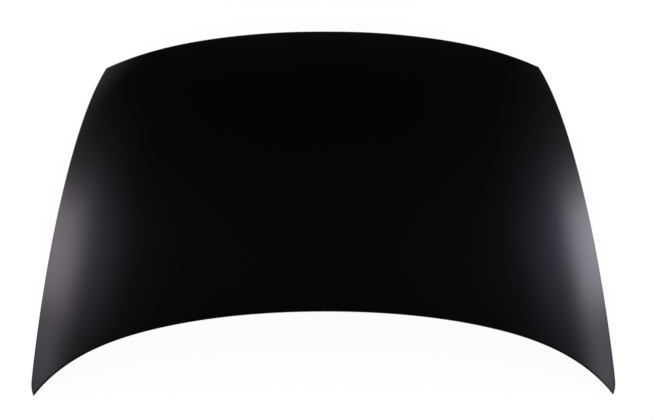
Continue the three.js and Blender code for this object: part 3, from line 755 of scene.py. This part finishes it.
plate_seat = FRAME_GAUGE / 2 + SEAT_GAP + PLATE_GAUGE / 2
for name, solid, plane, pad, holes in (
    ("hinge_plate_left", "hinge_reinforcement_left", hinge_planes[0], HINGE_PAD, hinge_holes),
    ("hinge_plate_right", "hinge_reinforcement_right", hinge_planes[1], HINGE_PAD, hinge_holes),
    ("latch_plate", "latch_reinforcement", latch_plane, LATCH_PAD, [latch_slot]),
):
    length, width, corner = pad
    size = (length - 2 * PLATE_MARGIN, width - 2 * PLATE_MARGIN, corner)
    plate = dished_plate(
        name, plane, plate_seat, size, PLATE_WALL_RUN, PLATE_WALL_HEIGHT, holes, PLATE_GAUGE
    )
    dress(plate, inside_primer, "black_primer", solid)


# Weld nuts: two hexagonal steel nuts on each hinge reinforcement, chamfered on
# top and threaded, that the hinge bolts turn into.

NUT_ACROSS_FLATS = 13
NUT_HEIGHT = 6.5
NUT_BORE = 8.4
NUT_THREAD_DEPTH = 0.35
NUT_THREAD_TURNS = 5
NUT_SIDES = 48
RINGS_PER_TURN = 4
NUT_CHAMFER_SLOPE = 0.58
NUT_CHAMFER_START = 0.2
NUT_LAND_INSET = 0.25
NUT_FOOT_BREAK = 0.4
NUT_COUNTERSINK = 0.4
NUT_COUNTERSINK_DEPTH = 0.5


def threaded_nut():
    """Rings round one nut: up its flanks, over its chamfer and down its thread."""
    nut = Sheet()
    angle = np.linspace(0, 2 * np.pi, NUT_SIDES, endpoint=False)
    to_flat = (angle + np.pi / 6) % (np.pi / 3) - np.pi / 6
    flat_radius, bore_radius = NUT_ACROSS_FLATS / 2, NUT_BORE / 2
    hexagon = flat_radius / np.cos(to_flat)
    chamfered = NUT_HEIGHT - NUT_CHAMFER_SLOPE * np.maximum(hexagon - flat_radius + NUT_CHAMFER_START, 0)
    even = np.ones(NUT_SIDES)
    land = even * (flat_radius - NUT_LAND_INSET)
    mouth = even * (bore_radius + NUT_COUNTERSINK)
    rings = [
        (land, 0 * even),
        (hexagon, NUT_FOOT_BREAK * even),
        (hexagon, chamfered),
        (land, NUT_HEIGHT * even),
        (mouth, NUT_HEIGHT * even),
    ]
    thread_top = NUT_HEIGHT - NUT_COUNTERSINK_DEPTH
    levels = np.linspace(thread_top, NUT_COUNTERSINK_DEPTH, RINGS_PER_TURN * NUT_THREAD_TURNS + 1)
    half_turn = RINGS_PER_TURN / 2
    for k, level in enumerate(levels):
        groove = NUT_THREAD_DEPTH * abs(k % RINGS_PER_TURN - half_turn) / half_turn
        rings.append((even * (bore_radius + groove), level * even))
    rings.append((mouth, 0 * even))
    loops = [
        nut.loop(np.stack([radius * np.cos(angle), radius * np.sin(angle), z], -1)) for radius, z in rings
    ]
    nut.bands([*loops, loops[0]])
    return nut


def points_object(name, places, ups, alongs):
    """Bare points with the directions that the pieces set on them take."""
    mesh = bpy.data.meshes.new(name)
    mesh.from_pydata([Sheet.placing @ Vector(place) for place in places], [], [])
    for attribute, values in (("up", ups), ("along", alongs)):
        data = mesh.attributes.new(attribute, "FLOAT_VECTOR", "POINT").data
        data.foreach_set("vector", np.asarray(values, np.float32).ravel())
    return add_object(name, mesh)


def grow_on_points(carrier, tree, values):
    """Runs a geometry node tree on the points and turns its result into the piece's plain mesh."""
    modifier = carrier.modifiers.new("grown", "NODES")
    modifier.node_group = tree
    for item in tree.interface.items_tree:
        if item.in_out == "INPUT" and item.name in values:
            modifier[item.identifier] = values[item.name]
    make_plain(carrier)
    return carrier


def geometry_tree(name, inputs):
    """A geometry tree with named inputs; gives its graph and the node that holds the inputs."""
    tree = bpy.data.node_groups.new(name, "GeometryNodeTree")
    tree.interface.new_socket("Geometry", in_out="INPUT", socket_type="NodeSocketGeometry")
    for label, kind in inputs.items():
        tree.interface.new_socket(label, in_out="INPUT", socket_type=kind)
    tree.interface.new_socket("Geometry", in_out="OUTPUT", socket_type="NodeSocketGeometry")
    graph = Graph(tree)
    return graph, graph.node("NodeGroupInput")


def set_on_points(graph, given, shape):
    """Instances of a shape on the points, turned to their directions and made real."""
    up = graph.node("GeometryNodeInputNamedAttribute", {"data_type": "FLOAT_VECTOR"}, {"Name": "up"})
    along = graph.node("GeometryNodeInputNamedAttribute", {"data_type": "FLOAT_VECTOR"}, {"Name": "along"})
    turn = graph.node(
        "FunctionNodeAxesToRotation", {"primary_axis": "Z", "secondary_axis": "X"}, (up, along)
    )
    placed = graph.node("GeometryNodeInstanceOnPoints", None, {
        "Points": given.outlet("Geometry"), "Instance": shape, "Rotation": turn,
    })
    return graph.node("GeometryNodeRealizeInstances", None, {"Geometry": placed})


def finish_tree(graph, given, geometry):
    """Ends a geometry tree with the material that it is given."""
    painted = graph.node("GeometryNodeSetMaterial", None, {
        "Geometry": geometry, "Material": given.outlet("Material"),
    })
    graph.node("NodeGroupOutput", None, {"Geometry": painted})


nut_shape = threaded_nut().piece("nut_shape", placing=Sheet.own_size)
graph, given = geometry_tree("repeat_on_points", {
    "Shape": "NodeSocketObject",
    "Material": "NodeSocketMaterial",
})
shape = graph.node("GeometryNodeObjectInfo", None, {"Object": given.outlet("Shape")}).outlet("Geometry")
finish_tree(graph, given, set_on_points(graph, given, shape))
repeat_tree = graph.tree

nut_seat = plate_seat + PLATE_GAUGE / 2 + SEAT_GAP
for side, plane in zip(("left", "right"), hinge_planes):
    seats = on_plane(plane, bolt_places, nut_seat)
    turned = [[plane.col[axis][:3]] * len(seats) for axis in (2, 0)]
    carrier = points_object(f"weld_nuts_{side}", seats, *turned)
    nuts = grow_on_points(carrier, repeat_tree, {"Shape": nut_shape, "Material": inside_primer})
    dress(nuts, inside_primer, "black_primer", f"hinge_nut_{side}_inner", f"hinge_nut_{side}_outer")
bpy.data.objects.remove(nut_shape)


# Striker base: a thick dished plate welded under the latch pad, with two holes
# that take the ends of the striker loop.

STRIKER_BASE_MARGIN = 10
STRIKER_BASE_GAUGE = 2.5
STRIKER_BASE_WALL_RUN = 3
STRIKER_BASE_WALL_HEIGHT = -6

base_seat = -(FRAME_GAUGE / 2 + SEAT_GAP + STRIKER_BASE_GAUGE / 2)
length, width, corner = LATCH_PAD
base_size = (
    length - 2 * STRIKER_BASE_MARGIN,
    width - 2 * STRIKER_BASE_MARGIN + 2 * STRIKER_BASE_WALL_RUN,
    corner - STRIKER_BASE_WALL_RUN,
)
rod_hole = STRIKER_ROD + 2 * SEAT_GAP
rod_holes = [ring_of_points((side * STRIKER_SPAN / 2, 0), rod_hole) for side in (-1, 1)]
striker_base = dished_plate(
    "striker_plate", latch_plane, base_seat, base_size,
    STRIKER_BASE_WALL_RUN, STRIKER_BASE_WALL_HEIGHT, rod_holes, STRIKER_BASE_GAUGE,
)
dress(striker_base, inside_primer, "black_primer", "striker_base")


# Striker loop: a round steel rod bent to a U, which the latch on the car closes
# round. Its ends stand through the base and are welded there.

STRIKER_DROP = 42
STRIKER_BEND = 11
STRIKER_STUB = 4
ROD_END_BREAK = 0.6
ROD_SIDES = 28
ROD_STEPS = 7
BEND_STEPS = 14
ROD_SHARP_ANGLE = 40


def striker_rod():
    """Rings along the bent rod, drawn in the plane of the latch pad."""
    half, bottom = STRIKER_SPAN / 2, STRIKER_ROD / 2 - STRIKER_DROP
    top = STRIKER_BASE_GAUGE / 2 + STRIKER_STUB
    quarter = np.linspace(0, np.pi / 2, BEND_STEPS)
    bend_x = half - STRIKER_BEND + STRIKER_BEND * np.cos(quarter)
    bend_z = bottom + STRIKER_BEND - STRIKER_BEND * np.sin(quarter)
    bend = np.stack([bend_x, bend_z], -1)
    straight = np.linspace(top, bottom + STRIKER_BEND, ROD_STEPS, endpoint=False)
    right = np.concatenate([np.stack([np.full(ROD_STEPS, half), straight], -1), bend])
    path = np.concatenate([right, right[::-1] * [-1, 1]])
    tangent = np.gradient(path, axis=0)
    tangent /= np.linalg.norm(tangent, axis=1, keepdims=True)
    path[:, 1] += base_seat
    angle = np.linspace(0, 2 * np.pi, ROD_SIDES, endpoint=False)
    rod = Sheet()

    def ring(centre, along, radius):
        outward = np.array([along[1], -along[0]])
        across, rise = (centre + np.outer(np.cos(angle) * radius, outward)).T
        return rod.loop(on_plane(latch_plane, np.stack([across, np.sin(angle) * radius], -1), rise))

    radius = STRIKER_ROD / 2
    loops = [
        ring(path[0], tangent[0], radius - ROD_END_BREAK),
        ring(path[0] + tangent[0] * ROD_END_BREAK, tangent[0], radius),
        *[ring(centre, along, radius) for centre, along in zip(path[1:-1], tangent[1:-1])],
        ring(path[-1] - tangent[-1] * ROD_END_BREAK, tangent[-1], radius),
        ring(path[-1], tangent[-1], radius - ROD_END_BREAK),
    ]
    rod.bands(loops)
    rod.faces.extend([loops[0].tolist()[::-1], loops[-1].tolist()])
    return rod


striker_loop = striker_rod().piece("striker_rod", sharp=ROD_SHARP_ANGLE)
dress(striker_loop, inside_primer, "black_primer", "striker_loop")


# Weld spots: the round marks that the welding tips leave where the frame is
# joined to the hinge plates, and the striker base to the latch pad.

# Diameters and heights of a mark from its foot over its rim to its middle, and
# where the marks lie on the hinge pads and on the striker base
SPOT_FOOT = (6.4, 0)
SPOT_RIM = (5.6, 0.16)
SPOT_DISH = (4.6, 0.07)
SPOT_MIDDLE = (1.2, 0.05)
SPOT_SIDES = 20
HINGE_SPOTS = [(-38, -13), (-38, 13), (0, -15), (0, 15), (38, -13), (38, 13)]
BASE_SPOTS = [(-40, -11), (-40, 11), (0, -12), (0, 12), (40, -11), (40, 11)]

spot = Sheet()
loops = []
for diameter, rise in (SPOT_FOOT, SPOT_RIM, SPOT_DISH, SPOT_MIDDLE):
    ring = ring_of_points((0, 0), diameter, SPOT_SIDES)
    loops.append(spot.loop(np.column_stack([ring, np.full(SPOT_SIDES, rise)])))
spot.bands(loops)
spot.faces.append(loops[-1].tolist())
spot_shape = spot.piece("spot_shape", placing=Sheet.own_size)
spot_places, spot_ups, spot_alongs = [], [], []
for plane, marks, seat in (
    (hinge_planes[0], HINGE_SPOTS, -FRAME_GAUGE / 2),
    (hinge_planes[1], HINGE_SPOTS, -FRAME_GAUGE / 2),
    (latch_plane, BASE_SPOTS, base_seat - STRIKER_BASE_GAUGE / 2),
):
    spot_places.extend(on_plane(plane, marks, seat))
    spot_ups.extend([-plane.col[2].to_3d()] * len(marks))
    spot_alongs.extend([plane.col[0].to_3d()] * len(marks))
carrier = points_object("weld_spots", spot_places, spot_ups, spot_alongs)
weld_spots = grow_on_points(carrier, repeat_tree, {"Shape": spot_shape, "Material": inside_primer})
dress(weld_spots, inside_primer, "black_primer")
bpy.data.objects.remove(spot_shape)


# Mastic beads: dabs of soft sealant laid on the lands of the frame, which swell
# in the oven until they touch the skin and keep it from drumming.

BEAD_LENGTH = 46
BEAD_WIDTH = 9
BEAD_HEIGHT = 4.1
SHORTEST_BEADED_SIDE = 188

# How blunt the dabs are at their ends and sides, how flat and how lumpy, with the
# scale of the lumps per metre and their size in metres
DAB_END_POWER = 0.55
DAB_SIDE_POWER = 0.85
DAB_FLATTENING = 1.35
DAB_SEED = 3.0
LUMP_SCALE = 140
LUMP_SIZE = 0.0016
LUMP_DIRECTIONS = (1, 1, 0.1)

# The mastic's colours, and its grain with its scales per metre and its depth in metres
MASTIC_DARK = (0.009, 0.008, 0.0075, 1)
MASTIC_PALE = (0.018, 0.0165, 0.015, 1)
MASTIC_ROUGHNESS = 0.72
MASTIC_MOTTLE = 0.2
GRAIN_SCALE = 700
GRAIN_DEPTH = 0.0004
GRAIN_STRENGTH = 0.6
TONE_SCALE = 60

bead_plans, bead_alongs = [], []
for corners in openings:
    for corner, after in zip(corners, np.roll(corners, -1, 0)):
        if reach(corner, after) < SHORTEST_BEADED_SIDE:
            continue
        along = field(after) - field(corner)
        along /= np.linalg.norm(along)
        outwards = np.array([along[1], -along[0]]) * OPENING_LAND / 2
        bead_plans.append(field((corner + after) / 2) + outwards)
        bead_alongs.append([*along, 0])
bead_plans = np.array(bead_plans)
land_top = land_depth - FRAME_GAUGE / 2
bead_places = below(bead_plans, (SKIN_GAUGE + land_top) / 2)
bead_ups = surface_normal(bead_plans[:, 0], bead_plans[:, 1])

graph, given = geometry_tree("mastic_dabs", {
    "Length": "NodeSocketFloat",
    "Width": "NodeSocketFloat",
    "Height": "NodeSocketFloat",
    "Seed": "NodeSocketFloat",
    "Material": "NodeSocketMaterial",
})
ball = graph.node("GeometryNodeMeshUVSphere", None, {"Segments": 36, "Rings": 16, "Radius": 1})
point = graph.node("ShaderNodeSeparateXYZ", None, {0: graph.node("GeometryNodeInputPosition")})
x, y, z = (point.outlet(axis) for axis in "XYZ")
blunt_x = x.math("SIGN") * x.math("ABSOLUTE").math("POWER", DAB_END_POWER)
blunt_y = y.math("SIGN") * y.math("ABSOLUTE").math("POWER", DAB_SIDE_POWER)
flat_z = (z * DAB_FLATTENING).math("MAXIMUM", -1).math("MINIMUM", 1)
place = graph.node("ShaderNodeCombineXYZ", None, {
    "X": blunt_x * given.outlet("Length") * 0.5,
    "Y": blunt_y * given.outlet("Width") * 0.5,
    "Z": flat_z * given.outlet("Height") * 0.5,
})
dab = graph.node("GeometryNodeSetPosition", None, {"Geometry": ball, "Position": place})
laid = set_on_points(graph, given, dab)
where = graph.node("GeometryNodeInputPosition")
lumps = graph.node("ShaderNodeTexNoise", {"noise_dimensions": "4D"}, {
    "Vector": where, "W": given.outlet("Seed"), "Scale": LUMP_SCALE, "Detail": 2,
})
normal = graph.node("GeometryNodeInputNormal")
swell = graph.node("ShaderNodeVectorMath", {"operation": "SCALE"}, {
    0: normal, "Scale": (lumps - NOISE_MIDDLE) * LUMP_SIZE,
})
pressed = graph.node("ShaderNodeVectorMath", {"operation": "MULTIPLY"}, (swell, LUMP_DIRECTIONS))
lumpy = graph.node("GeometryNodeSetPosition", None, {"Geometry": laid, "Offset": pressed})
smooth = graph.node("GeometryNodeSetShadeSmooth", None, {"Geometry": lumpy})
finish_tree(graph, given, smooth)

mastic = bpy.data.materials.new("dark_mastic")
surface = empty_graph(mastic)
place = surface.node("ShaderNodeTexCoord").outlet("Object")
grain = surface.noise(place, GRAIN_SCALE, 4)
tone = surface.noise(place, TONE_SCALE, 2)
bump = surface.node("ShaderNodeBump", None, {
    "Strength": GRAIN_STRENGTH, "Distance": GRAIN_DEPTH, "Height": grain,
})
shader = surface.node("ShaderNodeBsdfPrincipled", None, {
    "Base Color": surface.mix_colours(tone, MASTIC_DARK, MASTIC_PALE),
    "Roughness": MASTIC_ROUGHNESS + MASTIC_MOTTLE * grain,
    "Normal": bump,
})
surface.node("ShaderNodeOutputMaterial", None, {"Surface": shader})

carrier = points_object("mastic_dabs", bead_places, bead_ups, bead_alongs)
dabs = grow_on_points(carrier, graph.tree, {
    "Length": BEAD_LENGTH * MM, "Width": BEAD_WIDTH * MM, "Height": BEAD_HEIGHT * MM,
    "Seed": DAB_SEED, "Material": mastic,
})
dress(dabs, mastic, "mastic", *[f"mastic_bead_{k + 1:02d}" for k in range(len(bead_plans))])


# The studio: a white floor that lets lamplight through from below, soft lamps on
# all sides of the bonnet, and the camera above its rear edge.

# The floor's reach in metres, and how bright it and the world are for each kind of ray
FLOOR_REACH = 30
FLOOR_WHITE = (0.9, 0.9, 0.9, 1)
FLOOR_TO_CAMERA = 1.03
FLOOR_TO_REFLECTIONS = 0.05
FLOOR_GLOW_SHARE = 0.9
WORLD_TO_REFLECTIONS = 0.004
WORLD_TO_SURFACES = 0.6
PLAIN_WHITE = (1, 1, 1)

scene = bpy.context.scene
floor_corners = [(FLOOR_REACH * x, FLOOR_REACH * y, 0) for x, y in ((-1, -1), (1, -1), (1, 1), (-1, 1))]
floor_mesh = bpy.data.meshes.new("studio_floor")
floor_mesh.from_pydata(floor_corners, [], [(0, 1, 2, 3)])
floor = add_object("studio_floor", floor_mesh)
paper = bpy.data.materials.new("white_paper")
graph = empty_graph(paper)
rays = graph.node("ShaderNodeLightPath")
reflected = rays.outlet("Is Glossy Ray") + rays.outlet("Is Transmission Ray")
seen = rays.outlet("Is Camera Ray")
lit = graph.node("ShaderNodeBsdfDiffuse", None, {"Color": FLOOR_WHITE})
shine = FLOOR_TO_CAMERA * seen + FLOOR_TO_REFLECTIONS * reflected
glow = graph.node("ShaderNodeEmission", None, {"Color": (*PLAIN_WHITE, 1), "Strength": shine})
share = (seen + reflected).math("MINIMUM", 1) * FLOOR_GLOW_SHARE
blend = graph.node("ShaderNodeMixShader", None, {0: share, 1: lit, 2: glow})
from_below = graph.node("ShaderNodeNewGeometry").outlet("Backfacing")
open_way = from_below.math("MAXIMUM", rays.outlet("Is Shadow Ray"))
clear = graph.node("ShaderNodeBsdfTransparent")
one_sided = graph.node("ShaderNodeMixShader", None, {0: open_way, 1: blend, 2: clear})
graph.node("ShaderNodeOutputMaterial", None, {"Surface": one_sided})
floor_mesh.materials.append(paper)

world = bpy.data.worlds.new("studio")
scene.world = world
graph = empty_graph(world)
rays = graph.node("ShaderNodeLightPath")
seen = (1 - WORLD_TO_REFLECTIONS) * rays.outlet("Is Camera Ray")
level = WORLD_TO_REFLECTIONS + seen + WORLD_TO_SURFACES * rays.outlet("Is Diffuse Ray")
glow = graph.node("ShaderNodeBackground", None, {"Color": (*PLAIN_WHITE, 1), "Strength": level})
graph.node("ShaderNodeOutputWorld", None, {"Surface": glow})


def soft_lamp(name, place, target, size, power, colour=PLAIN_WHITE):
    """A rectangular lamp that the camera doesn't see, turned to its target."""
    light = bpy.data.lights.new(name, "AREA")
    light.shape = "RECTANGLE"
    light.size, light.size_y = size
    light.energy = power
    light.color = colour
    lamp = add_object(name, light)
    lamp.location = place
    lamp.rotation_euler = (Vector(target) - Vector(place)).to_track_quat("-Z", "Y").to_euler()
    lamp.visible_camera = False


# Where the lamps point
MIDDLE = (0, 0, 0.1)
UNDERSIDE = (0, 0, 0)
CROWN_TOP = (0, 0.2, 0.1)
RIGHT_FLANK = (0.62, 0, 0.1)
LEFT_FLANK = (-0.62, 0, 0.1)

# Each lamp by its place, target, width and height, power in watts and colour
soft_lamp("under_lamp_rear", (1.1, -1.9, -1.5), UNDERSIDE, (1.6, 1.0), 70)
soft_lamp("under_lamp_nose", (-1.5, 2.0, -1.2), UNDERSIDE, (1.2, 1.0), 50)
soft_lamp("rear_lamp", (0, -2.68, 2.19), MIDDLE, (2.4, 1.0), 30)
soft_lamp("nose_lamp", (0, 3.2, 0.4), MIDDLE, (2.6, 0.4), 0.7)
soft_lamp("overhead_lamp", (0, 1.4, 3.4), CROWN_TOP, (5.0, 1.6), 0.6, (1, 0.96, 1))
soft_lamp("right_lamp", (2.894, 1.105, 0.707), RIGHT_FLANK, (0.85, 1.33), 25.5, (0.925, 0.86, 1))
soft_lamp("right_high_lamp", (2.326, 1.083, 1.736), RIGHT_FLANK, (0.89, 1.37), 3.1, (0.68, 0.67, 1))
soft_lamp("right_tip_lamp", (3.141, 0.088, 0.729), RIGHT_FLANK, (0.8, 1.1), 5.8, (0.85, 0.8, 1))
soft_lamp("left_lamp", (-2.871, 1.094, 0.804), LEFT_FLANK, (0.85, 1.53), 17.4, (1, 0.863, 1))
soft_lamp("left_high_lamp", (-2.326, 1.083, 1.736), LEFT_FLANK, (0.89, 1.37), 3.0, (0.75, 0.77, 1))
soft_lamp("left_tip_lamp", (-3.133, 0.22, 0.729), LEFT_FLANK, (0.5, 1.1), 3.6, (0.85, 0.8, 1))

# The camera, set by the photograph's size in pixels, its focal length and its middle
CAMERA_TARGET = Vector((0, -0.034782, 0.073455))
CAMERA_DISTANCE = 4.5
CAMERA_ELEVATION = math.radians(62)
CAMERA_ROLL = math.radians(-0.142)
PHOTO_WIDTH = 653
PHOTO_HEIGHT = 420
PIXEL_FOCUS = 1755.2
MIDDLE_PIXEL = (322.9, 209.85)
SENSOR_WIDTH = 36

camera_data = bpy.data.cameras.new("photo_camera")
camera_data.sensor_width = SENSOR_WIDTH
camera_data.lens = PIXEL_FOCUS * SENSOR_WIDTH / PHOTO_WIDTH
camera_data.shift_x = (PHOTO_WIDTH / 2 - MIDDLE_PIXEL[0]) / PHOTO_WIDTH
camera_data.shift_y = (MIDDLE_PIXEL[1] - PHOTO_HEIGHT / 2) / PHOTO_WIDTH
camera = add_object("photo_camera", camera_data)
back = Vector((0, -math.cos(CAMERA_ELEVATION), math.sin(CAMERA_ELEVATION)))
turn = back.to_track_quat("Z", "Y").to_matrix() @ Matrix.Rotation(CAMERA_ROLL, 3, "Z")
camera.matrix_world = Matrix.Translation(CAMERA_TARGET + back * CAMERA_DISTANCE) @ turn.to_4x4()
scene.camera = camera
scene.view_settings.view_transform = "Standard"
